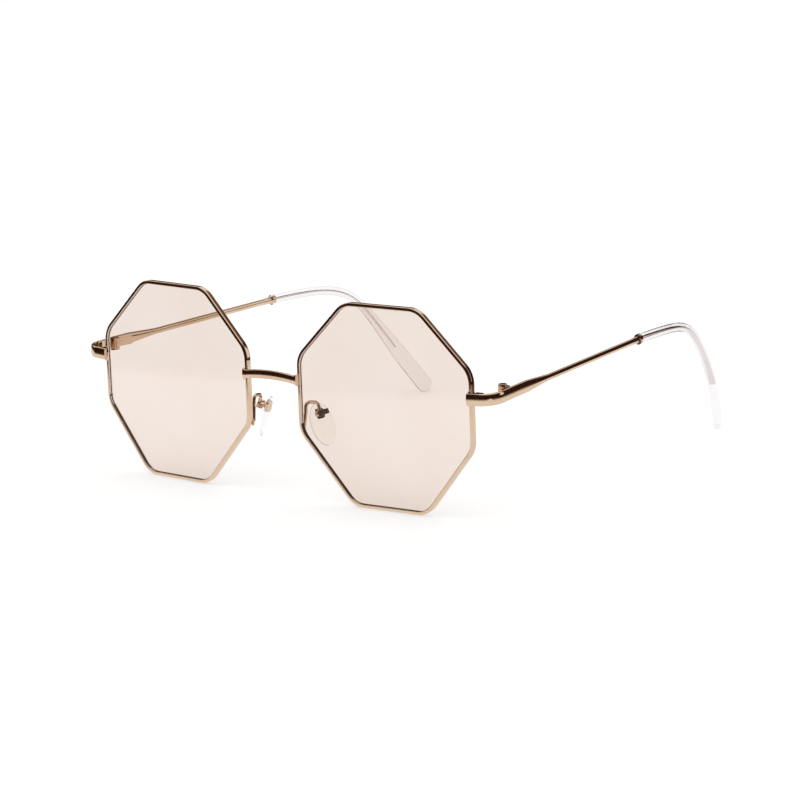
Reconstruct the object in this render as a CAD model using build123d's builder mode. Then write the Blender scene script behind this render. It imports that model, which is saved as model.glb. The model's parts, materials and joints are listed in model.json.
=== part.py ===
from build123d import *
from math import cos, exp, radians, sin, tanh
import os

# Octagonal wire-framed sunglasses, open, standing on their rims and temple tips.
# Millimetres. X runs to the wearer's left, Y to the back of the head, Z up. Every
# piece is made for the wearer's left side and mirrored for the right.
# Places are given from the nasal edge of the lens opening: y = 0 is the front face
# of the rim there, x = 0 the middle of the nose and z = 0 the table.

# Lens opening, seen square on, from its middle to the temple side and up
lens_half_width = 28.5
lens_half_height = 27.8
top_edge_half = 12.2
top_edge_to_nose = 0.33
bottom_edge_half = 12.0
bottom_edge_to_temple = 1.0
side_edge_rise = 11.9
side_edge_drop = 8.66
lens_corner_radius = 6.5

# How the two openings stand to each other
nose_half_gap = 10.2
wrap_angle = 3.58

# Rim wire and its groove
rim_face = 1.0
rim_depth = 1.8
rim_round = 0.42
groove_depth = 0.5
groove_width = 0.9

# Lens plate, with a bevel that sits in the groove
lens_thickness = 1.4
lens_fit = 0.05
lens_bevel = 0.3

# Bridge, a crowned bar on the front of both rims
bridge_on_rim = 0.7
bridge_thickness = 1.4
bridge_height = 2.5
bridge_end_middle = 34.5
bridge_arch = 0.6
bridge_flare_length = 1.1
bridge_flare = 0.4
bridge_crown = 0.55

# Strip that makes the end piece, and where the temple starts behind the opening's edge
strip_thickness = 1.4
strip_height = 3.4
strip_round = 0.45
strip_start_height = 34.15
strip_corner_rise = 0.4
strip_corner_radius = 4.6
temple_outset = 7.57
temple_setback = 10.84
split_height = 35.2

# Closing block of the rim, in two halves with a screw
lock_width = 2.4
lock_depth = 2.6
lock_upper_height = 1.4
lock_lower_height = 1.5
lock_gap = 0.2
lock_round = 0.3
lock_screw_radius = 0.4
lock_head_radius = 0.65
lock_head_height = 0.45
lock_screw_cover = 0.4
screw_fit = 0.03

# Temple hinge: one knuckle between two, on leaves along the inside of the strip
hinge_bottom = 33.6
hinge_height = 3.3
knuckle_radius = 1.3
knuckle_gap = 0.05
hinge_lead = 1.8
hinge_inset = 1.6
leaf_thickness = 0.6
leaf_height = 2.5
leaf_foot = 0.3
leaf_gap = 0.1
front_leaf_length = 4.2
temple_leaf_length = 6.5
leaf_corner_radius = 0.6
knuckle_arm = 1.2
hinge_pin_radius = 0.55
hinge_pin_recess = 0.15
hinge_head_radius = 1.15
hinge_head_height = 0.4
hinge_head_round = 0.15
driver_slot_width = 0.25
driver_slot_depth = 0.2

# Temple, from the split to the start of its tip
temple_length = 66.4
temple_rise = 2.95
temple_toe_in = 4.63
blade_length = 5.6
blade_taper = 11.0
rod_height = 1.8
rod_thickness = 1.3
rod_round = 0.5
ferrule_length = 5.0
ferrule_height = 2.7
ferrule_thickness = 2.1
ferrule_flare = 2.0
ferrule_round = 0.7

# Clear tip: along, then down and inwards
tip_length = 77.1
tip_level_run = 5.0
tip_bend_angle = 53.25
tip_bend_middle = 31.0
tip_bend_spread = 10.2
tip_first_turn_angle = 6.0
tip_first_turn_start = 8.0
tip_first_turn_length = 16.0
tip_second_turn_angle = 19.0
tip_second_turn_start = 38.0
tip_second_turn_length = 36.0
tip_collar_height = 3.1
tip_collar_thickness = 2.7
tip_collar_length = 1.4
tip_height = 2.7
tip_thickness = 2.4
paddle_height = 5.0
paddle_thickness = 2.9
paddle_start = 36.0
paddle_full = 64.0
tip_end_round = 2.6

# Core wire of the temple inside the tip
core_length = 58.0
core_height = 0.55
core_thickness = 1.5
core_end_height = 0.5
core_end_thickness = 1.3
core_fit = 0.05

# Nose pad, a clear oval that rocks on a screw in the box of its arm
pad_x = 10.7
pad_y = 8.95
pad_z = 20.4
pad_lean = 20.0
pad_splay = 28.0
pad_half_length = 6.2
pad_half_width = 3.5
pad_thickness = 2.0
pad_round = 0.85

# Metal insert of the pad, and the box around its lug
insert_half_length = 1.5
insert_half_width = 1.2
insert_thickness = 0.5
insert_fit = 0.03
lug_width = 1.0
lug_radius = 0.6
box_up = 3.1
box_clear = 0.45
box_width = 3.3
box_height = 1.5
box_back = 0.45
box_round = 0.2
box_side_gap = 0.06
pad_screw_radius = 0.32
pad_head_radius = 0.6
pad_head_height = 0.4

# Arm of the nose pad: root on the rim, up, over the loop and down to the box
arm_radius = 0.5
arm_root_height = 20.3
arm_root_width = 0.9
arm_root_length = 2.6
arm_root_thickness = 0.5
arm_rise_y = 2.9
arm_rise = 4.1
arm_loop_y = 3.2
arm_loop_rise = 3.3
arm_from_nasal_edge = 0.4
arm_end_shift = 0.7
arm_drop = 2.3
arm_bend_radius = 1.3

# How far a cut runs past the face that it opens
overrun = 1.0

lens_middle = lens_half_height + rim_face


def smooth(share):
    """Rise from 0 to 1 that starts and ends level."""
    share = min(max(share, 0), 1)
    return share * share * (3 - 2 * share)


def tip_angles(distance):
    """Climb and inward turn of the tip, in degrees, at a distance along it."""
    climb_at_start = temple_rise / temple_length / radians(1)
    level = climb_at_start * exp(-distance / tip_level_run)
    bent = tip_bend_angle * (1 + tanh((distance - tip_bend_middle) / tip_bend_spread)) / 2
    first = smooth((distance - tip_first_turn_start) / tip_first_turn_length)
    second = smooth((distance - tip_second_turn_start) / tip_second_turn_length)
    turn = temple_toe_in + tip_first_turn_angle * first + tip_second_turn_angle * second
    return level - bent, turn


def tip_direction(distance):
    """Direction of the tip's middle line at a distance along it."""
    climb, turn = tip_angles(distance)
    level = cos(radians(climb))
    return Vector(-sin(radians(turn)) * level, cos(radians(turn)) * level, sin(radians(climb)))


def tip_point(distance, steps=60):
    """Middle line of the tip at a distance along it, from its start."""
    point = Vector(0, 0, 0)
    for step in range(steps):
        point += tip_direction(distance * (step + 0.5) / steps) * (distance / steps)
    return point


# The part's middle from front to back, so that its origin is under its centre
split_x = nose_half_gap + 2 * lens_half_width * cos(radians(wrap_angle)) + temple_outset
split_y = 2 * lens_half_width * sin(radians(wrap_angle)) + temple_setback
toe_in = Vector(-sin(radians(temple_toe_in)), cos(radians(temple_toe_in)), 0)
outward = Vector(cos(radians(temple_toe_in)), sin(radians(temple_toe_in)), 0)
back_reach = split_y + temple_length * toe_in.Y + tip_point(tip_length).Y
middle_y = (back_reach + tip_end_round / 2 - bridge_thickness) / 2


def at(x, y, z):
    """A place given from the nasal edge, in the part's own frame."""
    return Vector(x, y - middle_y, z)


# Plane of the left rim's front face, seen from the front, from the opening's middle
wrap = radians(wrap_angle)
rim_plane = Plane(
    origin=at(
        nose_half_gap + lens_half_width * cos(wrap), lens_half_width * sin(wrap), lens_middle
    ),
    x_dir=(cos(wrap), sin(wrap), 0),
    z_dir=(sin(wrap), -cos(wrap), 0),
)

finished = []


def finish(piece, name):
    """Name a piece and put it with its mirrored twin on the list to write."""
    for side, shape in (("left", piece), ("right", mirror(piece, about=Plane.YZ))):
        shape.label = side + "_" + name
        finished.append(shape)


def octagon(grow):
    """The lens opening's eight-sided outline, grown by a distance."""
    points = [
        (-top_edge_to_nose - top_edge_half, lens_half_height),
        (-top_edge_to_nose + top_edge_half, lens_half_height),
        (lens_half_width, side_edge_rise),
        (lens_half_width, -side_edge_drop),
        (bottom_edge_to_temple + bottom_edge_half, -lens_half_height),
        (bottom_edge_to_temple - bottom_edge_half, -lens_half_height),
        (-lens_half_width, -side_edge_drop),
        (-lens_half_width, side_edge_rise),
    ]
    with BuildSketch() as outline:
        with BuildLine():
            FilletPolyline(*points, radius=lens_corner_radius, close=True)
        make_face()
        if grow:
            offset(amount=grow)
    return outline.sketch


# Rim: rounded wire with a groove inside, split at the closing block
lock_level = strip_start_height - lens_middle
with BuildPart() as rim:
    with BuildSketch(rim_plane):
        add(octagon(rim_face))
        add(octagon(0), mode=Mode.SUBTRACT)
    extrude(amount=-rim_depth)
    fillet(rim.edges().filter_by(rim_plane), radius=rim_round)
    with BuildSketch(rim_plane.offset((groove_width - rim_depth) / 2)):
        add(octagon(groove_depth))
    extrude(amount=-groove_width, mode=Mode.SUBTRACT)
    with BuildSketch(rim_plane):
        with Locations((lens_half_width + rim_face / 2, lock_level)):
            Rectangle(rim_face + overrun, lock_gap)
    extrude(amount=-rim_depth, mode=Mode.SUBTRACT)
finish(rim.part, "rim")

# Lens: flat plate with a bevelled edge in the groove
bevel_width = groove_width - 2 * lens_fit
with BuildPart() as lens_edge:
    with BuildSketch(rim_plane.offset((bevel_width - rim_depth) / 2)):
        add(octagon(groove_depth - lens_fit))
    extrude(amount=-bevel_width)
    chamfer(lens_edge.edges().filter_by(rim_plane), length=lens_bevel)
with BuildPart() as lens:
    add(lens_edge.part)
    with BuildSketch(rim_plane.offset((lens_thickness - rim_depth) / 2)):
        add(octagon(-lens_fit))
    extrude(amount=-lens_thickness)
finish(lens.part, "lens")

# Bridge: bar with flared ends, arched a little, crowned in front
bridge_half = nose_half_gap - rim_face + bridge_on_rim
bridge_bend = bridge_half - bridge_flare_length
bridge_plane = Plane(
    origin=at(0, -rim_face * sin(wrap), bridge_end_middle), x_dir=(1, 0, 0), z_dir=(0, -1, 0)
)
bridge_up = bridge_height / 2
flare_up = bridge_up + bridge_flare
with BuildPart() as bridge:
    with BuildSketch(bridge_plane):
        with BuildLine():
            Polyline((-bridge_bend, bridge_up), (-bridge_half, flare_up), (-bridge_half, -flare_up))
            Line((-bridge_half, -flare_up), (-bridge_bend, -bridge_up))
            ThreePointArc(
                (-bridge_bend, -bridge_up), (0, bridge_arch - bridge_up), (bridge_bend, -bridge_up)
            )
            Polyline((bridge_bend, -bridge_up), (bridge_half, -flare_up), (bridge_half, flare_up))
            Line((bridge_half, flare_up), (bridge_bend, bridge_up))
            ThreePointArc(
                (bridge_bend, bridge_up), (0, bridge_arch + bridge_up), (-bridge_bend, bridge_up)
            )
        make_face()
    extrude(amount=bridge_thickness)
    front_edges = bridge.faces().sort_by(Axis.Y)[0].edges()
    fillet(front_edges, radius=bridge_crown)
bridge.part.label = "bridge"
finished.append(bridge.part)

# End piece: strip on the rim's face that turns back to the split
split_plane = Plane(origin=at(split_x, split_y, split_height), x_dir=-outward, z_dir=toe_in)
strip_start = rim_plane.from_local_coords((lens_half_width, lock_level, strip_thickness / 2))
split_point = split_plane.origin
along_front = rim_plane.x_dir
to_split = split_point - strip_start
run_to_corner = to_split.dot(outward) / along_front.dot(outward)
corner_point = strip_start + along_front * run_to_corner + Vector(0, 0, strip_corner_rise)
strip_rise = Plane(
    origin=strip_start,
    x_dir=corner_point - strip_start,
    z_dir=(corner_point - strip_start).cross(split_point - corner_point),
)
with BuildPart() as end_piece:
    with BuildLine() as strip_path:
        FilletPolyline(
            (strip_start.X, strip_start.Y),
            (corner_point.X, corner_point.Y),
            (split_point.X, split_point.Y),
            radius=strip_corner_radius,
        )
    with BuildSketch(Plane(origin=strip_path.line @ 0, x_dir=(0, 0, 1), z_dir=along_front)):
        Rectangle(split_height + strip_height, strip_thickness, align=(Align.MIN, Align.CENTER))
    sweep(path=strip_path.wires()[0])
    split(bisect_by=strip_rise.offset(strip_height / 2), keep=Keep.BOTTOM)
    split(bisect_by=strip_rise.offset(-strip_height / 2), keep=Keep.TOP)
    fillet(end_piece.edges().filter_by(strip_rise), radius=strip_round)
finish(end_piece.part, "end_piece")

# Closing block: two halves on the rim's outer side, and the screw that joins them
lock_middle = lens_half_width + rim_face + lock_width / 2
lock_floor = lock_level - lock_gap / 2 - lock_lower_height
lock_screw_plane = Plane(
    origin=rim_plane.from_local_coords((lock_middle, lock_floor, -lock_depth / 2)),
    x_dir=rim_plane.x_dir,
    z_dir=(0, 0, 1),
)
lock_total = lock_lower_height + lock_gap + lock_upper_height


def lock_half(middle, height):
    """One half of the closing block, with its outer edges rounded."""
    with BuildPart() as half:
        with BuildSketch(rim_plane):
            with Locations((lock_middle, middle)):
                Rectangle(lock_width, height)
        extrude(amount=-lock_depth)
        upright = half.edges().filter_by(Axis.Z).sort_by(Axis.X)[-2:]
        fillet(upright, radius=lock_round)
        with BuildSketch(lock_screw_plane):
            Circle(lock_screw_radius + screw_fit)
        extrude(amount=lock_total - lock_screw_cover, mode=Mode.SUBTRACT)
        with BuildSketch(lock_screw_plane):
            Circle(lock_head_radius + screw_fit)
        extrude(amount=lock_head_height, mode=Mode.SUBTRACT)
    return half.part


finish(lock_half(lock_floor + lock_lower_height / 2, lock_lower_height), "rim_lock_lower")
upper_middle = lock_level + (lock_gap + lock_upper_height) / 2
finish(lock_half(upper_middle, lock_upper_height), "rim_lock_upper")

with BuildPart() as rim_lock_screw:
    with BuildSketch(lock_screw_plane):
        Circle(lock_head_radius)
    extrude(amount=lock_head_height - screw_fit)
    with BuildSketch(lock_screw_plane):
        Circle(lock_screw_radius)
    extrude(amount=lock_total - lock_screw_cover - screw_fit)
    with BuildSketch(lock_screw_plane):
        Rectangle(2 * lock_head_radius, driver_slot_width)
    extrude(amount=driver_slot_depth, mode=Mode.SUBTRACT)
finish(rim_lock_screw.part, "rim_lock_screw")

# Hinge plane: on the pivot at the foot of the knuckles, x outwards, y to the back
pivot = at(split_x, split_y, hinge_bottom)
pivot -= outward * (strip_thickness / 2 + leaf_thickness + hinge_inset)
pivot -= toe_in * hinge_lead
hinge_plane = Plane(origin=pivot, x_dir=outward, z_dir=(0, 0, 1))
knuckle_height = (hinge_height - 2 * knuckle_gap) / 3
knuckle_step = knuckle_height + knuckle_gap


def leaf(start, length, round_back):
    """Hinge leaf along the strip, from a place on the hinge plane's y, one end rounded."""
    with BuildPart() as plate:
        foot = hinge_plane.offset(leaf_foot)
        with BuildSketch(foot):
            with Locations((hinge_inset, start)):
                Rectangle(leaf_thickness, length, align=(Align.MIN, Align.MIN))
        extrude(amount=leaf_height)
        across = plate.edges().filter_by(Axis(origin=(0, 0, 0), direction=outward))
        fillet(across.sort_by(Axis.Y, reverse=round_back)[:2], radius=leaf_corner_radius)
    return plate.part


def knuckle(level, arm_corner, arm_size):
    """Knuckle at a level, with an arm out to its leaf."""
    foot = hinge_plane.offset(level * knuckle_step)
    with BuildPart() as ring:
        with BuildSketch(foot):
            Circle(knuckle_radius)
            with Locations(arm_corner):
                Rectangle(*arm_size, align=(Align.MIN, Align.MIN))
        extrude(amount=knuckle_height)
    return ring.part


with BuildPart() as pin_room:
    with BuildSketch(hinge_plane):
        Circle(hinge_pin_radius + screw_fit)
    extrude(amount=hinge_height)

front_arm = (hinge_inset + leaf_thickness / 2, knuckle_radius + knuckle_arm / 2)
with BuildPart() as front_hinge:
    add(leaf(-front_leaf_length, front_leaf_length + hinge_lead - leaf_gap / 2, False))
    add(knuckle(0, (0, -knuckle_radius), front_arm))
    add(knuckle(2, (0, -knuckle_radius), front_arm))
    add(pin_room.part, mode=Mode.SUBTRACT)
finish(front_hinge.part, "front_hinge")

# The temple's knuckle reaches back past the split before it turns out to its leaf
temple_leaf_start = hinge_lead + leaf_gap / 2
temple_arm = (hinge_inset - leaf_gap, temple_leaf_start + knuckle_arm)
with BuildPart() as temple_hinge:
    add(leaf(temple_leaf_start, temple_leaf_length, True))
    add(knuckle(1, (0, 0), temple_arm))
    with BuildSketch(hinge_plane.offset(knuckle_step)):
        with Locations((0, temple_leaf_start)):
            Rectangle(
                hinge_inset + leaf_thickness / 2, knuckle_arm, align=(Align.MIN, Align.MIN)
            )
    extrude(amount=knuckle_height)
    add(pin_room.part, mode=Mode.SUBTRACT)
finish(temple_hinge.part, "temple_hinge")

with BuildPart() as hinge_screw:
    with BuildSketch(hinge_plane.offset(hinge_pin_recess)):
        Circle(hinge_pin_radius)
    extrude(amount=hinge_height - hinge_pin_recess)
    with BuildSketch(hinge_plane.offset(hinge_height)):
        Circle(hinge_head_radius)
    extrude(amount=hinge_head_height)
    fillet(hinge_screw.edges().group_by(Axis.Z)[-1], radius=hinge_head_round)
    with BuildSketch(hinge_plane.offset(hinge_height + hinge_head_height)):
        Rectangle(2 * hinge_head_radius, driver_slot_width)
    extrude(amount=-driver_slot_depth, mode=Mode.SUBTRACT)
finish(hinge_screw.part, "hinge_screw")


# Temple: blade, taper, slim rod, ferrule and the core wire in the tip
def temple_plane(distance):
    """Upright plane across the temple at a distance behind the split."""
    rise = temple_rise * distance / temple_length
    origin = split_point + toe_in * distance + Vector(0, 0, rise)
    return Plane(origin=origin, x_dir=-outward, z_dir=toe_in)


def temple_run(stations):
    """Loft straight through rounded sections: distance, thickness, height, rounding."""
    with BuildPart() as run:
        for distance, thickness, height, rounding in stations:
            with BuildSketch(temple_plane(distance)):
                RectangleRounded(thickness, height, rounding)
        loft(ruled=True)
    return run.part


def tip_plane(distance):
    """Plane across the tip at a distance along it, its y upwards."""
    if distance == 0:
        return temple_plane(temple_length)
    climb, turn = tip_angles(distance)
    inward = Vector(-cos(radians(turn)), -sin(radians(turn)), 0)
    return Plane(
        origin=temple_end + tip_point(distance), x_dir=inward, z_dir=tip_direction(distance)
    )


def tip_run(stations):
    """Smooth loft through oval sections along the tip: distance, thickness, height."""
    with BuildPart() as run:
        for distance, thickness, height in stations:
            with BuildSketch(tip_plane(distance)):
                Ellipse(thickness / 2, height / 2)
        loft()
    return run.part


def core_stations(grow):
    """Sections of the core wire, grown by a clearance."""
    stations = []
    for share in core_shares:
        thickness = core_thickness + (core_end_thickness - core_thickness) * share
        height = core_height + (core_end_height - core_height) * share
        stations.append((share * (core_length + grow), thickness + 2 * grow, height + 2 * grow))
    return stations


core_shares = [0, 0.05, 0.1, 0.16, 0.23, 0.3, 0.42, 0.52, 0.62, 0.72, 0.82, 0.91, 1]
temple_end = temple_plane(temple_length).origin
blade_end = blade_length + blade_taper
ferrule_start = temple_length - ferrule_length
blade_middle_height = (strip_height + rod_height) / 2
blade_middle_thickness = (strip_thickness + rod_thickness) / 2
with BuildPart() as temple:
    add(temple_run([
        (0, strip_thickness, strip_height, strip_round),
        (blade_length, strip_thickness, strip_height, strip_round),
        (blade_length + blade_taper / 2, blade_middle_thickness, blade_middle_height, strip_round),
        (blade_end, rod_thickness, rod_height, rod_round),
        (ferrule_start, rod_thickness, rod_height, rod_round),
        (ferrule_start + ferrule_flare, ferrule_thickness, ferrule_height, ferrule_round),
        (temple_length, ferrule_thickness, ferrule_height, ferrule_round),
    ]))
    add(tip_run(core_stations(0)))
finish(temple.part, "temple")

# Tip: clear sleeve that widens to a rounded paddle
tip_body_shares = [0, 0.03, 0.07, 0.12, 0.18, 0.24, 0.34, 0.42, 0.5, 0.58, 0.66, 0.75, 0.84, 0.92, 1]
tip_end_angles = [18, 36, 52, 66, 78]
body_start = 2 * tip_collar_length
body_length = tip_length - tip_end_round - body_start


def tip_size(distance):
    """Thickness and height of the tip's body at a distance along it."""
    share = smooth((distance - paddle_start) / (paddle_full - paddle_start))
    thickness = tip_thickness + (paddle_thickness - tip_thickness) * share
    height = tip_height + (paddle_height - tip_height) * share
    return thickness, height


tip_stations = [
    (0, tip_collar_thickness, tip_collar_height),
    (tip_collar_length, tip_collar_thickness, tip_collar_height),
]
for share in tip_body_shares:
    distance = body_start + body_length * share
    tip_stations.append((distance, *tip_size(distance)))
for angle in tip_end_angles:
    distance = tip_length - tip_end_round * (1 - sin(radians(angle)))
    thickness, height = tip_size(distance)
    narrowing = cos(radians(angle))
    tip_stations.append((distance, thickness * narrowing, height * narrowing))
with BuildPart() as temple_tip:
    add(tip_run(tip_stations))
    add(tip_run(core_stations(core_fit)), mode=Mode.SUBTRACT)
finish(temple_tip.part, "temple_tip")

# Nose pad plane: in the pad's middle, y up the pad, x across to the back, z to the arm
pad_long = Vector(-sin(radians(pad_lean)), 0, cos(radians(pad_lean)))
pad_cross = Vector(sin(radians(pad_splay)), cos(radians(pad_splay)), 0)
pad_normal = pad_cross.cross(pad_long).normalized()
pad_plane = Plane(origin=at(pad_x, pad_y, pad_z), x_dir=pad_long.cross(pad_normal), z_dir=pad_normal)
pad_face = pad_thickness / 2
box_floor = pad_face + box_clear
lug_axis = box_floor + box_height / 2
box_top = lug_axis + lug_radius + box_side_gap + box_back


def insert_shape(grow):
    """Metal insert with its lug, grown by a clearance."""
    with BuildPart() as shape:
        with BuildSketch(pad_plane.offset(-grow)):
            with Locations((0, box_up)):
                RectangleRounded(
                    2 * (insert_half_width + grow),
                    2 * (insert_half_length + grow),
                    insert_half_width / 2,
                )
        extrude(amount=insert_thickness + 2 * grow)
        with BuildSketch(pad_plane):
            with Locations((0, box_up)):
                Rectangle(lug_width + 2 * grow, 2 * (lug_radius + grow))
        extrude(amount=lug_axis)
    return shape.part


def lug_plane(offset_x):
    """Plane across the pad's screw, at a distance along it from the lug's middle."""
    origin = pad_plane.from_local_coords((offset_x, box_up, lug_axis))
    return Plane(origin=origin, x_dir=pad_plane.y_dir, z_dir=pad_plane.x_dir)


with BuildPart() as pad_insert:
    add(insert_shape(0))
    with BuildSketch(lug_plane(-lug_width / 2)):
        Circle(lug_radius)
    extrude(amount=lug_width)
    with BuildSketch(lug_plane(-lug_width / 2)):
        Circle(pad_screw_radius + screw_fit)
    extrude(amount=lug_width, mode=Mode.SUBTRACT)
finish(pad_insert.part, "pad_insert")

with BuildPart() as nose_pad:
    with BuildSketch(pad_plane.offset(-pad_face)):
        Ellipse(pad_half_width, pad_half_length)
    extrude(amount=pad_thickness)
    fillet(nose_pad.edges().filter_by(GeomType.ELLIPSE), radius=pad_round)
    add(insert_shape(insert_fit), mode=Mode.SUBTRACT)
finish(nose_pad.part, "nose_pad")

# Box: two cheeks and a back around the lug, and the screw through them
with BuildPart() as pad_box:
    with BuildSketch(pad_plane.offset(box_floor)):
        with Locations((0, box_up)):
            Rectangle(box_width, box_height)
    extrude(amount=box_top - box_floor)
    fillet(pad_box.edges().filter_by(Axis(origin=(0, 0, 0), direction=pad_normal)), radius=box_round)
    with BuildSketch(pad_plane.offset(box_floor)):
        with Locations((0, box_up)):
            Rectangle(lug_width + 2 * box_side_gap, box_height)
    extrude(amount=box_top - box_back - box_floor, mode=Mode.SUBTRACT)
    with BuildSketch(lug_plane(-box_width / 2)):
        Circle(pad_screw_radius + screw_fit)
    extrude(amount=box_width, mode=Mode.SUBTRACT)
finish(pad_box.part, "pad_box")

with BuildPart() as pad_screw:
    with BuildSketch(lug_plane(-box_width / 2 - pad_head_height)):
        Circle(pad_head_radius)
    extrude(amount=pad_head_height)
    with BuildSketch(lug_plane(-box_width / 2)):
        Circle(pad_screw_radius)
    extrude(amount=box_width)
    with BuildSketch(lug_plane(-box_width / 2 - pad_head_height)):
        Rectangle(2 * pad_head_radius, driver_slot_width)
    extrude(amount=driver_slot_depth, mode=Mode.SUBTRACT)
finish(pad_screw.part, "pad_screw")

# Arm: soldered foot on the back of the rim, then the looped wire
arm_x = nose_half_gap - arm_from_nasal_edge
arm_v = arm_root_height - lens_middle
arm_root = rim_plane.from_local_coords(
    (-lens_half_width - rim_face / 2, arm_v, -rim_depth - arm_radius)
)
arm_end = pad_plane.from_local_coords((-arm_end_shift, box_up + box_height / 2, box_top - box_back))
with BuildPart() as pad_arm:
    with BuildSketch(rim_plane.offset(-rim_depth)):
        with Locations((-lens_half_width - rim_face / 2, arm_v)):
            RectangleRounded(arm_root_width, arm_root_length, arm_root_width / 3)
    extrude(amount=-arm_root_thickness)
    with BuildLine() as arm_path:
        FilletPolyline(
            arm_root,
            at(arm_x, arm_rise_y, arm_root_height + arm_rise),
            at(arm_x, arm_loop_y, arm_root_height + arm_rise + arm_loop_rise),
            arm_end + pad_plane.y_dir * arm_drop,
            arm_end,
            radius=arm_bend_radius,
        )
    with BuildSketch(Plane(origin=arm_path.line @ 0, z_dir=arm_path.line % 0)):
        Circle(arm_radius)
    sweep(path=arm_path.wires()[0])
finish(pad_arm.part, "pad_arm")

os.makedirs("parts", exist_ok=True)
for shape in finished:
    export_step(shape, "parts/" + shape.label + ".step")
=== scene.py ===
import json
from math import acos, cos, exp, pi, radians, sin, sqrt, tan, tanh

import bmesh
import bpy
from mathutils import Matrix, Vector


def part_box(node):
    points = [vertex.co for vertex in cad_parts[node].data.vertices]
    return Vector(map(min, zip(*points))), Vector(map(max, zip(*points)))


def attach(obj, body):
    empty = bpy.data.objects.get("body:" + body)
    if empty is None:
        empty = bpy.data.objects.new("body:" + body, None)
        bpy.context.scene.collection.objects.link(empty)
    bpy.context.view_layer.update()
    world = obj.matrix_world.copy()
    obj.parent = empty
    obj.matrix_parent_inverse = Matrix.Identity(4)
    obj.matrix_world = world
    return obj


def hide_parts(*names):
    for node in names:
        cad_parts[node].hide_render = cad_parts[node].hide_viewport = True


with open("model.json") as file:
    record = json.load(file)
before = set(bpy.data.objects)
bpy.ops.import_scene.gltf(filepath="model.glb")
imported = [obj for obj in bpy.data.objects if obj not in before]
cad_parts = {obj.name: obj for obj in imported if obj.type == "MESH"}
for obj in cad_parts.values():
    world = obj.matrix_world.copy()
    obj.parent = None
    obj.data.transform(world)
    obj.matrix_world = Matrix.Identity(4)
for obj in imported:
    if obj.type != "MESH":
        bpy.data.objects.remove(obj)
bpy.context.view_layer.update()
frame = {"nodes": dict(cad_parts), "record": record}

nodes = frame["nodes"]
scene = bpy.context.scene
scene.view_settings.view_transform = "Standard"
mm = 0.001

# Camera, found by fitting both rims, temples and tips to the photograph. Its angles
# are measured round the point where the rim's front face meets the nasal edge.
camera_azimuth = 39.479
camera_elevation = 11.533
camera_roll = -2.058
camera_distance = 922.6 * mm
camera_aim = Vector((46.119, 0, 32.416)) * mm
focal_pixels = 3395.1
picture_side = 800
sensor_width = 36.0

# Rims: the lens opening from its middle, the wire and its groove
lens_half_width = 28.5 * mm
lens_half_height = 27.8 * mm
top_edge_half = 12.2 * mm
top_edge_to_nose = 0.33 * mm
bottom_edge_half = 12.0 * mm
bottom_edge_to_temple = 1.0 * mm
side_edge_rise = 11.9 * mm
side_edge_drop = 8.66 * mm
lens_corner_radius = 6.5 * mm
nose_half_gap = 10.2 * mm
wrap = radians(3.58)
rim_face = 1.0 * mm
rim_depth = 1.8 * mm
rim_outer_round = 0.42 * mm
rim_inner_round = 0.16 * mm
groove_depth = 0.5 * mm
groove_width = 0.9 * mm
rim_split = 0.2 * mm

# Strip of the end piece and blade of the temple, crowned on both faces
strip_thickness = 1.4 * mm
strip_height = 3.4 * mm
strip_start_height = 34.15 * mm
strip_corner_rise = 0.4 * mm
strip_corner_radius = 4.6 * mm
temple_outset = 7.57 * mm
temple_setback = 10.84 * mm
split_height = 35.2 * mm
strip_squareness = 2.9

# Bridge
bridge_on_rim = 0.7 * mm
bridge_thickness = 1.4 * mm
bridge_height = 2.5 * mm
bridge_end_middle = 34.5 * mm
bridge_arch = 0.6 * mm
bridge_flare_length = 1.1 * mm
bridge_flare = 0.4 * mm
bridge_squareness = 2.8

# Temple behind the split
temple_length = 66.4 * mm
temple_rise = 2.95 * mm
temple_toe_in = 4.63
blade_length = 5.6 * mm
blade_taper = 11.0 * mm
rod_height = 1.8 * mm
rod_thickness = 1.3 * mm
rod_squareness = 2.3
ferrule_length = 5.0 * mm
ferrule_height = 2.0 * mm
ferrule_thickness = 1.5 * mm
ferrule_flare = 2.0 * mm

# Clear tip and the core wire in it
tip_length = 77.1 * mm
tip_level_run = 5.0 * mm
tip_bend_angle = 53.25
tip_bend_middle = 31.0 * mm
tip_bend_spread = 10.2 * mm
tip_first_turn_angle = 6.0
tip_first_turn_start = 8.0 * mm
tip_first_turn_length = 16.0 * mm
tip_second_turn_angle = 19.0
tip_second_turn_start = 38.0 * mm
tip_second_turn_length = 36.0 * mm
tip_collar_height = 3.1 * mm
tip_collar_thickness = 2.7 * mm
tip_collar_length = 1.4 * mm
tip_collar_lead = 1.6 * mm
tip_collar_chamfer = 0.192 * mm
tip_collar_edge = 0.9
tip_height = 2.7 * mm
tip_thickness = 2.4 * mm
paddle_height = 5.0 * mm
paddle_thickness = 2.9 * mm
paddle_start = 36.0 * mm
paddle_full = 64.0 * mm
tip_end_round = 2.6 * mm
tip_end_angle = radians(84)
core_length = 58.0 * mm
core_height = 0.55 * mm
core_thickness = 1.5 * mm
core_end_height = 0.5 * mm
core_end_thickness = 1.3 * mm

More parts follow.
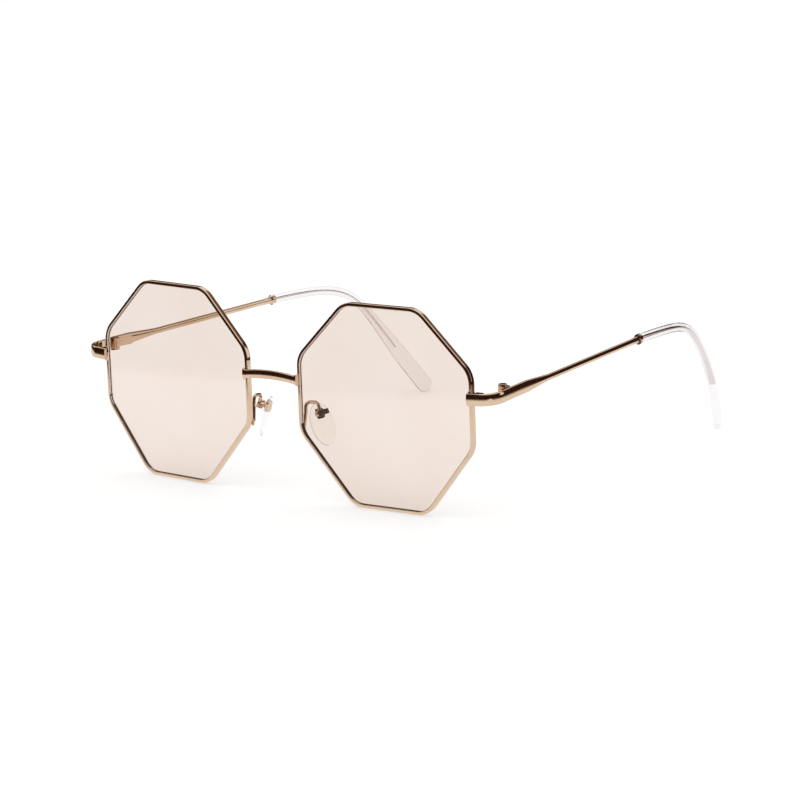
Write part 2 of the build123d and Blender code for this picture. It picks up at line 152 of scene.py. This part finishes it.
# Nose pad, its arm and the box that the arm ends in
pad_middle = Vector((10.7, 8.95, 20.4)) * mm
pad_lean = radians(20.0)
pad_splay = radians(28.0)
pad_half_length = 6.2 * mm
pad_half_width = 3.5 * mm
pad_thickness = 2.0 * mm
pad_edge_angle = radians(86)
pad_edge_fullness = 0.42
box_up = 3.1 * mm
box_clear = 0.45 * mm
box_height = 1.5 * mm
box_side_gap = 0.06 * mm
lug_radius = 0.6 * mm
arm_radius = 0.5 * mm
arm_root_height = 20.3 * mm
arm_root_width = 0.9 * mm
arm_root_length = 2.6 * mm
arm_root_thickness = 0.5 * mm
arm_root_taper = 0.3
arm_root_squareness = 3.0
arm_rise_y = 2.9 * mm
arm_rise = 4.1 * mm
arm_loop_y = 3.2 * mm
arm_loop_rise = 3.3 * mm
arm_from_nasal_edge = 0.4 * mm
arm_end_shift = 0.7 * mm
arm_drop = 2.3 * mm
arm_bend_radius = 1.3 * mm

# Solder that shows above and below the strip where it crosses the rim
solder_half_width = 0.85 * mm
solder_beyond_strip = 0.55 * mm
solder_height = 0.42 * mm
solder_narrowing = 0.96
solder_squareness = 2.6

# Fineness of the meshes
arc_steps = 14
section_steps = 48
bridge_steps = 36
tip_path_steps = 60
core_steps = 28
blade_steps = 12
flare_steps = 8
tip_steps = 44
tip_end_steps = 10
pad_layers = 16
arm_root_layers = 4
sharp_angle = radians(32.0)

# Clouding and rubbing marks of the metal, and how deep the palest part of a tint is
metal_cloud_scale = 90.0
rubbing_depth = 0.05 * mm
pale_depth = 0.85

# Colours, linear
white = (1.0, 1.0, 1.0)
gold = (0.72, 0.545, 0.395)
gold_deep = (0.65, 0.47, 0.32)
core_silver = (0.88, 0.83, 0.83)
core_silver_deep = (0.80, 0.74, 0.75)
screw_gold = (0.70, 0.53, 0.40)
lens_tint = (0.828, 0.718, 0.652)
tip_clear = (0.91, 0.885, 0.885)
pad_clear = (0.965, 0.955, 0.945)
dark_room = (0.030, 0.011, 0.007)
half_dark = (0.30, 0.19, 0.13)
floor_colour = (0.68, 0.68, 0.68)

# Light levels, the lamp and the floor
world_level = 0.90
floor_lift = 0.395
floor_half = 6.0
floor_gap = 0.05 * mm
lamp_power = 1.8
lamp_size = 1.2
lamp_place = Vector((-0.35, -0.30, 1.1))

# Bright parts of the mirrored studio, and the shares of a direction between which each fades
left_way = (-0.8, 0.6, 0.0)
overhead = (0.66, 0.82)
left_side = (0.30, 0.60)
left_side_height = (0.25, 0.50)
right_side = (-0.10, 0.02)
right_side_behind = (0.25, 0.45)

# White table in mirrors: where it ends in front and on the right, and its round corner
table_front = -0.2215
table_front_slope = 0.3
table_front_level = -0.222
table_right = 0.191
table_right_slope = 0.31
table_corner = (0.070, -0.060, 0.0)
table_corner_radius = 0.180
table_fade = 0.012

# Height of the opening's middle, and the nasal edge's place from front to back
lens_middle = lens_half_height + rim_face
nasal_edge_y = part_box("bridge")[1].y + rim_face * sin(wrap)
up = Vector((0, 0, 1))


def at(x, y, z):
    """A place given from the nasal edge, in the frame."""
    return Vector((x, y + nasal_edge_y, z))


class Tree:
    """A material's or world's node tree with short calls to add and join nodes."""

    def __init__(self, owner):
        owner.use_nodes = True
        self.tree = owner.node_tree
        self.tree.nodes.clear()

    def add(self, kind, inputs=None, **settings):
        """Add a node, with a value or another node's socket for each input named."""
        node = self.tree.nodes.new(kind)
        for key, value in settings.items():
            setattr(node, key, value)
        for key, value in (inputs or {}).items():
            if isinstance(value, bpy.types.NodeSocket):
                self.tree.links.new(value, node.inputs[key])
                continue
            if node.inputs[key].type == "RGBA":
                value = (*value, 1.0)
            node.inputs[key].default_value = value
        return node

    def math(self, operation, first, second=0.0):
        """Result of one sum."""
        return self.add("ShaderNodeMath", {0: first, 1: second}, operation=operation).outputs[0]

    def along(self, place, way):
        """How far a place lies along a way."""
        joined = {0: place, 1: way}
        return self.add("ShaderNodeVectorMath", joined, operation="DOT_PRODUCT").outputs["Value"]

    def ramp(self, factor, stops):
        """Colour ramp through (place, colour) stops."""
        node = self.add("ShaderNodeValToRGB", {"Fac": factor})
        line = node.color_ramp
        while len(line.elements) < len(stops):
            line.elements.new(0.5)
        for element, (place, colour) in zip(line.elements, stops):
            element.position = place
            element.color = (*colour, 1.0)
        return node.outputs["Color"]

    def noise(self, scale, detail=3.0, roughness=0.5):
        """Noise over the object's own coordinates, in metres."""
        place = self.add("ShaderNodeTexCoord").outputs["Object"]
        return self.add(
            "ShaderNodeTexNoise",
            {"Vector": place, "Scale": scale, "Detail": detail, "Roughness": roughness},
        ).outputs["Fac"]

    def between(self, factor, low, high, start=0.0, end=1.0):
        """A number from low to high while the factor goes from start to end."""
        return self.add("ShaderNodeMapRange", {
            "Value": factor, "From Min": start, "From Max": end, "To Min": low, "To Max": high,
        }).outputs["Result"]


def metal(name, colour, deep, rough, grain_scale, bump):
    """Polished plated metal: faint clouding, fine rubbing marks and a slight unevenness."""
    material = bpy.data.materials.new(name)
    t = Tree(material)
    cloud = t.noise(metal_cloud_scale, 4.0)
    rubbed = t.noise(grain_scale, 5.0, 0.65)
    lift = t.add(
        "ShaderNodeBump", {"Height": rubbed, "Strength": bump, "Distance": rubbing_depth}
    ).outputs[0]
    smoothest = rough * 0.7
    dullest = rough * 1.4
    shader = t.add("ShaderNodeBsdfPrincipled", {
        "Base Color": t.ramp(cloud, ((0.25, deep), (0.55, colour))),
        "Metallic": 1.0,
        "Roughness": t.between(rubbed, smoothest, dullest),
        "Normal": lift,
    })
    t.add("ShaderNodeOutputMaterial", {"Surface": shader.outputs[0]})
    return material


def clear(name, tint, index, rough, cloud_scale):
    """Clear stuff that lets lamps through, with a faint unevenness of tint and polish."""
    material = bpy.data.materials.new(name)
    t = Tree(material)
    cloud = t.noise(cloud_scale, 3.0)
    pale = tuple(1 - (1 - share) * pale_depth for share in tint)
    smoothest = rough * 0.6
    dullest = rough * 1.5
    shader = t.add("ShaderNodeBsdfPrincipled", {
        "Base Color": t.ramp(cloud, ((0.25, pale), (0.75, tint))),
        "Roughness": t.between(cloud, smoothest, dullest),
        "IOR": index,
        "Transmission Weight": 1.0,
    })
    through = t.add("ShaderNodeBsdfTransparent", {"Color": tint})
    shadow = t.add("ShaderNodeLightPath").outputs["Is Shadow Ray"]
    mixed = t.add(
        "ShaderNodeMixShader", {0: shadow, 1: shader.outputs[0], 2: through.outputs[0]}
    )
    t.add("ShaderNodeOutputMaterial", {"Surface": mixed.outputs[0]})
    return material


materials = {
    "rose_gold": metal(
        "rose_gold", gold, gold_deep, rough=0.09, grain_scale=900.0, bump=0.05
    ),
    "core_metal": metal(
        "core_metal", core_silver, core_silver_deep, rough=0.14, grain_scale=900.0, bump=0.05
    ),
    "screw_metal": metal(
        "screw_metal", screw_gold, gold_deep, rough=0.14, grain_scale=1600.0, bump=0.10
    ),
    "tinted_lens": clear("tinted_lens", lens_tint, index=1.30, rough=0.006, cloud_scale=40.0),
    "clear_acetate": clear("clear_acetate", tip_clear, index=1.16, rough=0.02, cloud_scale=120.0),
    "clear_pad": clear("clear_pad", pad_clear, index=1.14, rough=0.03, cloud_scale=160.0),
}
slots = {entry["node"]: entry["material_slot"] for entry in frame["record"]["subparts"]}
body_of_node = {
    node: body
    for body, members in frame["record"]["behaviour"]["bodies"].items()
    for node in members
}


def seen_rays(t):
    """Two numbers: 1 for rays seen straight or through glass, and 1 for mirrored rays."""
    path = t.add("ShaderNodeLightPath").outputs
    onward = t.math("MAXIMUM", path["Is Camera Ray"], path["Is Transmission Ray"])
    mirror = t.math("MINIMUM", path["Glossy Depth"], 1.0)
    return t.math("MINIMUM", onward, t.math("SUBTRACT", 1.0, mirror)), mirror


def make_camera():
    """Camera at the photograph's viewpoint."""
    a, e, r = (radians(v) for v in (camera_azimuth, camera_elevation, camera_roll))
    back = Vector((sin(a) * cos(e), -cos(a) * cos(e), sin(e)))
    level = Vector((cos(a), sin(a), 0))
    above = back.cross(level)
    right = level * cos(r) + above * sin(r)
    above = above * cos(r) - level * sin(r)
    place = back * camera_distance + camera_aim + Vector((0, nasal_edge_y, 0))
    data = bpy.data.cameras.new("camera")
    data.sensor_width = sensor_width
    data.lens = focal_pixels / picture_side * sensor_width
    data.clip_start = 0.01
    camera = bpy.data.objects.new("camera", data)
    turn = Matrix((right, above, back)).transposed().to_4x4()
    camera.matrix_world = Matrix.Translation(place) @ turn
    scene.collection.objects.link(camera)
    scene.camera = camera


def make_world():
    """White surroundings; mirrors see a dark studio with bright parts above and beside."""
    world = bpy.data.worlds.new("studio")
    scene.world = world
    t = Tree(world)
    straight, mirror = seen_rays(t)
    way = t.add("ShaderNodeTexCoord").outputs["Generated"]
    axes = t.add("ShaderNodeSeparateXYZ", {0: way}).outputs
    to_left = t.along(way, left_way)
    above = t.between(axes["Z"], 0.0, 1.0, *overhead)
    beside = t.between(to_left, 0.0, 1.0, *left_side)
    raised = t.between(axes["Z"], 0.0, 1.0, *left_side_height)
    on_left = t.math("MINIMUM", beside, raised)
    to_right = t.between(to_left, 1.0, 0.0, *right_side)
    behind = t.between(axes["Y"], 0.0, 1.0, *right_side_behind)
    on_right = t.math("MINIMUM", to_right, behind)
    bright = t.math("MAXIMUM", above, t.math("MAXIMUM", on_left, on_right))
    tone = t.ramp(bright, ((0.0, dark_room), (0.6, half_dark), (1.0, white)))
    lit = t.add("ShaderNodeBackground", {"Color": white, "Strength": world_level})
    plain = t.add("ShaderNodeBackground", {"Color": white, "Strength": 1.0})
    studio = t.add("ShaderNodeBackground", {"Color": tone, "Strength": 1.0})
    first = t.add("ShaderNodeMixShader", {0: mirror, 1: lit.outputs[0], 2: studio.outputs[0]})
    both = t.add("ShaderNodeMixShader", {0: straight, 1: first.outputs[0], 2: plain.outputs[0]})
    t.add("ShaderNodeOutputWorld", {"Surface": both.outputs[0]})


def table_edge(t, distance, low, high, middle):
    """A number from low to high over the soft edge of the mirrored table."""
    return t.between(distance, low, high, middle - table_fade, middle + table_fade)


def make_floor():
    """White floor that keeps soft shadows; in mirrors it ends in front and on the right."""
    material = bpy.data.materials.new("floor")
    t = Tree(material)
    straight, mirror = seen_rays(t)
    place = t.add("ShaderNodeTexCoord").outputs["Object"]
    back = t.along(place, (table_front_slope, 1.0, 0.0))
    straight_back = t.along(place, (0.0, 1.0, 0.0))
    right = t.along(place, (1.0, table_right_slope, 0.0))
    reach = t.add(
        "ShaderNodeVectorMath", {0: place, 1: table_corner}, operation="DISTANCE"
    ).outputs["Value"]
    past_slope = table_edge(t, back, 0.0, 1.0, table_front)
    past_level = table_edge(t, straight_back, 0.0, 1.0, table_front_level)
    before_right = table_edge(t, right, 1.0, 0.0, table_right)
    in_corner = table_edge(t, reach, 1.0, 0.0, table_corner_radius)
    past_front = t.math("MINIMUM", past_slope, past_level)
    on_table = t.math("MAXIMUM", in_corner, t.math("MINIMUM", past_front, before_right))
    tone = t.ramp(on_table, ((0.0, dark_room), (0.5, half_dark), (1.0, white)))
    matt = t.add("ShaderNodeBsdfDiffuse", {"Color": floor_colour})
    lift = t.add("ShaderNodeEmission", {"Color": white, "Strength": floor_lift})
    raised = t.add("ShaderNodeAddShader", {0: matt.outputs[0], 1: lift.outputs[0]})
    glow = t.add("ShaderNodeEmission", {"Color": tone, "Strength": 1.0})
    first = t.add("ShaderNodeMixShader", {0: mirror, 1: matt.outputs[0], 2: glow.outputs[0]})
    both = t.add("ShaderNodeMixShader", {0: straight, 1: first.outputs[0], 2: raised.outputs[0]})
    t.add("ShaderNodeOutputMaterial", {"Surface": both.outputs[0]})
    mesh = bpy.data.meshes.new("floor")
    signs = ((-1, -1), (1, -1), (1, 1), (-1, 1))
    corners = [(floor_half * x, floor_half * y, 0) for x, y in signs]
    mesh.from_pydata(corners, [], [(0, 1, 2, 3)])
    mesh.materials.append(material)
    floor = bpy.data.objects.new("floor", mesh)
    floor.location.z = -floor_gap
    scene.collection.objects.link(floor)


def make_lamp():
    """One large soft lamp above."""
    data = bpy.data.lights.new("key", "AREA")
    data.shape = "DISK"
    data.size = lamp_size
    data.energy = lamp_power
    lamp = bpy.data.objects.new("key", data)
    lamp.location = lamp_place
    lamp.rotation_euler = (-lamp_place).to_track_quat("-Z", "Y").to_euler()
    lamp.visible_glossy = False
    lamp.visible_transmission = False
    scene.collection.objects.link(lamp)


def skin(shape, rings):
    """Close a row of equal rings of places into a skin with flat ends."""
    rows = [[shape.verts.new(place) for place in ring_places] for ring_places in rings]
    count = len(rows[0])
    for here, there in zip(rows, rows[1:]):
        for k in range(count):
            m = (k + 1) % count
            shape.faces.new((here[k], here[m], there[m], there[k]))
    shape.faces.new(rows[0])
    shape.faces.new(rows[-1][::-1])


def on_side(rings, sign):
    """Rings as they are for 1, or mirrored to the other side for -1."""
    return [[Vector((sign * p.x, p.y, p.z)) for p in places] for places in rings]


def build(title, skins, sign=1, node=None, core=None):
    """Make one smooth-shaded piece, in place of a node if named, with its core wire if given."""
    shape = bmesh.new()
    for rings in skins:
        skin(shape, on_side(rings, sign))
    if core:
        outside = len(shape.faces)
        skin(shape, on_side(core, sign))
        shape.faces.ensure_lookup_table()
        for face in shape.faces[outside:]:
            face.material_index = 1
    bmesh.ops.recalc_face_normals(shape, faces=shape.faces)
    for face in shape.faces:
        face.smooth = True
    for edge in shape.edges:
        edge.smooth = edge.calc_face_angle(pi) < sharp_angle
    mesh = bpy.data.meshes.new(title)
    shape.to_mesh(mesh)
    shape.free()
    piece = bpy.data.objects.new(title, mesh)
    scene.collection.objects.link(piece)
    slot = slots[node] if node else "rose_gold"
    mesh.materials.append(materials[slot])
    if core:
        mesh.materials.append(materials["core_metal"])
    if node:
        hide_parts(node)
    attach(piece, body_of_node[node] if node else "frame")


def build_pair(name, skins, in_place=True, core=None):
    """Make a piece for the left side and its mirror image for the right."""
    for side, sign in (("left", 1), ("right", -1)):
        node = side + "_" + name if in_place else None
        build(side + "_" + name + "_skin", skins, sign, node, core)


def smooth(share):
    """Rise from 0 to 1 that starts and ends level."""
    share = min(max(share, 0), 1)
    return share * share * (3 - 2 * share)


def oval(width, height, squareness=2.0):
    """Places round a crowned section: an ellipse at 2, squarer above."""
    places = []
    for k in range(section_steps):
        angle = 2 * pi * k / section_steps
        c, s = cos(angle), sin(angle)
        radius = (abs(c) ** squareness + abs(s) ** squareness) ** (-1 / squareness)
        places.append((width / 2 * radius * c, height / 2 * radius * s))
    return places


def ring(origin, across, upwards, section):
    """Places of a section in space, by its two directions."""
    return [origin + across * u + upwards * v for u, v in section]


def rounded(points, radius, closed=True):
    """Points of a path with its corners turned into arcs."""
    path = []
    for k, corner in enumerate(points):
        if not closed and k in (0, len(points) - 1):
            path.append(corner)
            continue
        to_last = (points[k - 1] - corner).normalized()
        to_next = (points[(k + 1) % len(points)] - corner).normalized()
        half = acos(to_last.dot(to_next)) / 2
        centre = corner + (to_last + to_next).normalized() * (radius / sin(half))
        first = corner + to_last * (radius / tan(half)) - centre
        last = corner + to_next * (radius / tan(half)) - centre
        turn = pi - 2 * half
        for step in range(arc_steps + 1):
            share = step / arc_steps
            place = first * sin((1 - share) * turn) + last * sin(share * turn)
            path.append(centre + place / sin(turn))
    return path


# Plane of the left rim's front face
rim_right = Vector((cos(wrap), sin(wrap), 0))
rim_out = Vector((sin(wrap), -cos(wrap), 0))
rim_origin = at(
    nose_half_gap + lens_half_width * cos(wrap), lens_half_width * sin(wrap), lens_middle
)


def on_rim(x, y, z):
    """A place by the rim's plane: to the temple, up and out in front."""
    return rim_origin + rim_right * x + up * y + rim_out * z


def rim_section():
    """Section of the wire: outwards from the opening, and forwards from its front face."""
    half_face = rim_face / 2
    half_depth = rim_depth / 2
    places = []
    corners = (
        (1, 1, rim_outer_round), (1, -1, rim_outer_round),
        (-1, -1, rim_inner_round), (-1, 1, rim_inner_round),
    )
    for quarter, (a, b, radius) in enumerate(corners):
        for step in range(arc_steps + 1):
            angle = pi / 2 * (1 - quarter - step / arc_steps)
            u = a * (half_face - radius) + radius * cos(angle)
            v = b * (half_depth - radius) + radius * sin(angle)
            places.append((u + half_face, v - half_depth))
        if quarter == 2:
            for u, v in ((0, -1), (1, -1), (1, 1), (0, 1)):
                places.append((u * groove_depth, v * groove_width / 2 - half_depth))
    return places


def make_rims():
    """Rounded wire round the lens, open at the closing block."""
    outline = [
        (lens_half_width, side_edge_rise),
        (top_edge_half - top_edge_to_nose, lens_half_height),
        (-top_edge_half - top_edge_to_nose, lens_half_height),
        (-lens_half_width, side_edge_rise),
        (-lens_half_width, -side_edge_drop),
        (bottom_edge_to_temple - bottom_edge_half, -lens_half_height),
        (bottom_edge_to_temple + bottom_edge_half, -lens_half_height),
        (lens_half_width, -side_edge_drop),
    ]
    split = strip_start_height - lens_middle
    path = rounded([Vector((x, y, 0)) for x, y in outline], lens_corner_radius)
    path.insert(0, Vector((lens_half_width, split + rim_split / 2, 0)))
    path.append(Vector((lens_half_width, split - rim_split / 2, 0)))
    rings = []
    section = rim_section()
    for k, place in enumerate(path):
        along = (path[min(k + 1, len(path) - 1)] - path[max(k - 1, 0)]).normalized()
        rings.append([
            on_rim(place.x + along.y * u, place.y - along.x * u, v) for u, v in section
        ])
    build_pair("rim", [rings])


# Strip and temple: the split between them, and the directions along and out
toe = radians(temple_toe_in)
toe_in = Vector((-sin(toe), cos(toe), 0))
outward = Vector((cos(toe), sin(toe), 0))
split_place = at(
    nose_half_gap + 2 * lens_half_width * cos(wrap) + temple_outset,
    2 * lens_half_width * sin(wrap) + temple_setback,
    split_height,
)
strip_level = strip_start_height - lens_middle


def make_end_pieces():
    """Crowned strip from the rim's face round to the split."""
    start = on_rim(lens_half_width, strip_level, strip_thickness / 2)
    run = (split_place - start).dot(outward) / rim_right.dot(outward)
    corner = start + rim_right * run + up * strip_corner_rise
    path = rounded([start, corner, split_place], strip_corner_radius, closed=False)
    section = oval(strip_thickness, strip_height, strip_squareness)
    rings = []
    for k, place in enumerate(path):
        along = path[min(k + 1, len(path) - 1)] - path[max(k - 1, 0)]
        out = Vector((along.y, -along.x, 0)).normalized()
        if k == len(path) - 1:
            out = outward
        rings.append(ring(place, out, up, section))
    build_pair("end_piece", [rings])


def make_solder():
    """Low bead of solder round the strip's start, on the rim's face."""
    middle = on_rim(lens_half_width + rim_face / 2, strip_level, 0)
    rings = []
    for step in range(arc_steps + 1):
        share = step / arc_steps
        spread = sqrt(1 - solder_narrowing * share * share)
        lift = solder_height * sin(share * pi / 2)
        half_height = strip_height / 2 + solder_beyond_strip * spread
        section = oval(2 * solder_half_width * spread, 2 * half_height, solder_squareness)
        rings.append(ring(middle + rim_out * lift, rim_right, up, section))
    build_pair("solder", [rings], in_place=False)


def make_bridge():
    """Bar with flared ends, arched a little and crowned in front."""
    half = nose_half_gap - rim_face + bridge_on_rim
    bend = half - bridge_flare_length
    middle_y = -rim_face * sin(wrap) - bridge_thickness / 2
    radius = (bend * bend + bridge_arch * bridge_arch) / (2 * bridge_arch)
    rings = []
    for k in range(2 * bridge_steps + 1):
        x = half * (k / bridge_steps - 1)
        arch = sqrt(radius * radius - min(abs(x), bend) ** 2) - radius + bridge_arch
        flare = bridge_flare * smooth((abs(x) - bend) / bridge_flare_length)
        place = at(x, middle_y, bridge_end_middle + arch)
        section = oval(bridge_thickness, bridge_height + 2 * flare, bridge_squareness)
        rings.append(ring(place, Vector((0, -1, 0)), up, section))
    build("bridge_skin", [rings], node="bridge")


def tip_angles(distance):
    """Climb and inward turn of the tip, in degrees, at a distance along it."""
    climb_at_start = temple_rise / temple_length / radians(1)
    level = climb_at_start * exp(-distance / tip_level_run)
    bent = tip_bend_angle * (1 + tanh((distance - tip_bend_middle) / tip_bend_spread)) / 2
    first = smooth((distance - tip_first_turn_start) / tip_first_turn_length)
    second = smooth((distance - tip_second_turn_start) / tip_second_turn_length)
    turn = temple_toe_in + tip_first_turn_angle * first + tip_second_turn_angle * second
    return level - bent, turn


def tip_direction(distance):
    """Direction of the tip's middle line at a distance along it."""
    climb, turn = (radians(angle) for angle in tip_angles(distance))
    return Vector((-sin(turn) * cos(climb), cos(turn) * cos(climb), sin(climb)))


temple_end = split_place + toe_in * temple_length + up * temple_rise


def tip_ring(distance, section):
    """Ring of the tip at a distance along it."""
    place = temple_end.copy()
    stride = distance / tip_path_steps
    for step in range(tip_path_steps):
        place += tip_direction(distance * (step + 0.5) / tip_path_steps) * stride
    along = tip_direction(distance) if distance else toe_in
    turn = radians(tip_angles(distance)[1])
    inward = Vector((-cos(turn), -sin(turn), 0))
    return ring(place, inward, along.cross(inward), section)


def core_rings():
    """Rings of the core wire that runs on in the tip."""
    rings = []
    for k in range(core_steps + 1):
        share = k / core_steps
        thickness = core_thickness + (core_end_thickness - core_thickness) * share
        height = core_height + (core_end_height - core_height) * share
        rings.append(tip_ring(core_length * share, oval(thickness, height)))
    return rings


def temple_stations():
    """Distance, thickness, height and squareness of the temple's sections."""
    blade = (strip_thickness, strip_height, strip_squareness)
    rod = (rod_thickness, rod_height, rod_squareness)
    stations = [(0, *blade)]
    for k in range(blade_steps + 1):
        share = k / blade_steps
        mixed = (a + (b - a) * share for a, b in zip(blade, rod))
        stations.append((blade_length + blade_taper * share, *mixed))
    ferrule_start = temple_length - ferrule_length
    for k in range(flare_steps + 1):
        share = smooth(k / flare_steps)
        stations.append((
            ferrule_start + ferrule_flare * k / flare_steps,
            rod_thickness + (ferrule_thickness - rod_thickness) * share,
            rod_height + (ferrule_height - rod_height) * share,
            rod_squareness,
        ))
    stations.append((temple_length, ferrule_thickness, ferrule_height, rod_squareness))
    return stations


def make_temples():
    """Crowned blade, slim rod and flared end, with the core wire behind them."""
    rings = []
    for distance, thickness, height, squareness in temple_stations():
        place = split_place + toe_in * distance + up * (temple_rise * distance / temple_length)
        rings.append(ring(place, outward, up, oval(thickness, height, squareness)))
    build_pair("temple", [rings], core=core_rings())


def make_tips():
    """Clear sleeve with a collar round the temple's end, which widens to a rounded paddle."""
    collar = (tip_collar_thickness, tip_collar_height)
    stations = [
        (-tip_collar_lead, *(tip_collar_edge * size for size in collar)),
        (tip_collar_chamfer - tip_collar_lead, *collar),
        (0, *collar),
    ]
    body_length = tip_length - tip_end_round - tip_collar_length
    for k in range(tip_steps + 1):
        distance = tip_collar_length + body_length * k / tip_steps
        share = smooth((distance - paddle_start) / (paddle_full - paddle_start))
        stations.append((
            distance,
            tip_thickness + (paddle_thickness - tip_thickness) * share,
            tip_height + (paddle_height - tip_height) * share,
        ))
    for k in range(1, tip_end_steps + 1):
        angle = tip_end_angle * k / tip_end_steps
        stations.append((
            tip_length - tip_end_round * (1 - sin(angle)),
            paddle_thickness * cos(angle),
            paddle_height * cos(angle),
        ))
    rings = [tip_ring(distance, oval(wide, high)) for distance, wide, high in stations]
    build_pair("temple_tip", [rings])


# Pad plane: y up the pad, x across to the back, z to the arm
pad_long = Vector((-sin(pad_lean), 0, cos(pad_lean)))
pad_normal = Vector((sin(pad_splay), cos(pad_splay), 0)).cross(pad_long).normalized()
pad_across = pad_long.cross(pad_normal)


def on_pad(x, y, z):
    """A place by the pad's plane."""
    return at(*pad_middle) + pad_across * x + pad_long * y + pad_normal * z


def make_pads():
    """Clear oval pad with rounded faces."""
    rings = []
    for k in range(pad_layers + 1):
        angle = pad_edge_angle * (2 * k / pad_layers - 1)
        level = pad_thickness / 2 * sin(angle) / sin(pad_edge_angle)
        spread = cos(angle) ** pad_edge_fullness
        section = oval(2 * pad_half_width * spread, 2 * pad_half_length * spread)
        rings.append(ring(on_pad(0, 0, level), pad_across, pad_long, section))
    build_pair("nose_pad", [rings])


def make_pad_arms():
    """Looped wire from its soldered foot to the pad's box."""
    beside = -lens_half_width - rim_face / 2
    foot_level = arm_root_height - lens_middle
    foot = []
    for k in range(arm_root_layers + 1):
        share = k / arm_root_layers
        spread = 1 - arm_root_taper * share * share
        section = oval(arm_root_width * spread, arm_root_length * spread, arm_root_squareness)
        place = on_rim(beside, foot_level, -rim_depth - arm_root_thickness * share)
        foot.append(ring(place, rim_right, up, section))
    inside_box = pad_thickness / 2 + box_clear + box_height / 2 + lug_radius + box_side_gap
    end = on_pad(-arm_end_shift, box_up + box_height / 2, inside_box)
    arm_x = nose_half_gap - arm_from_nasal_edge
    corners = [
        on_rim(beside, foot_level, -rim_depth - arm_radius),
        at(arm_x, arm_rise_y, arm_root_height + arm_rise),
        at(arm_x, arm_loop_y, arm_root_height + arm_rise + arm_loop_rise),
        end + pad_long * arm_drop,
        end,
    ]
    path = rounded(corners, arm_bend_radius, closed=False)
    wire = []
    across = rim_right
    for k, place in enumerate(path):
        along = (path[min(k + 1, len(path) - 1)] - path[max(k - 1, 0)]).normalized()
        across = (across - along * across.dot(along)).normalized()
        section = oval(2 * arm_radius, 2 * arm_radius)
        wire.append(ring(place, across, along.cross(across), section))
    build_pair("pad_arm", [foot, wire])


make_camera()
make_world()
make_floor()
make_lamp()
make_rims()
make_end_pieces()
make_solder()
make_bridge()
make_temples()
make_tips()
make_pads()
make_pad_arms()

# Materials of the solids
for name, node in nodes.items():
    if not node.data.materials:
        node.data.materials.append(None)
    for place in node.material_slots:
        place.material = materials[slots[name]]
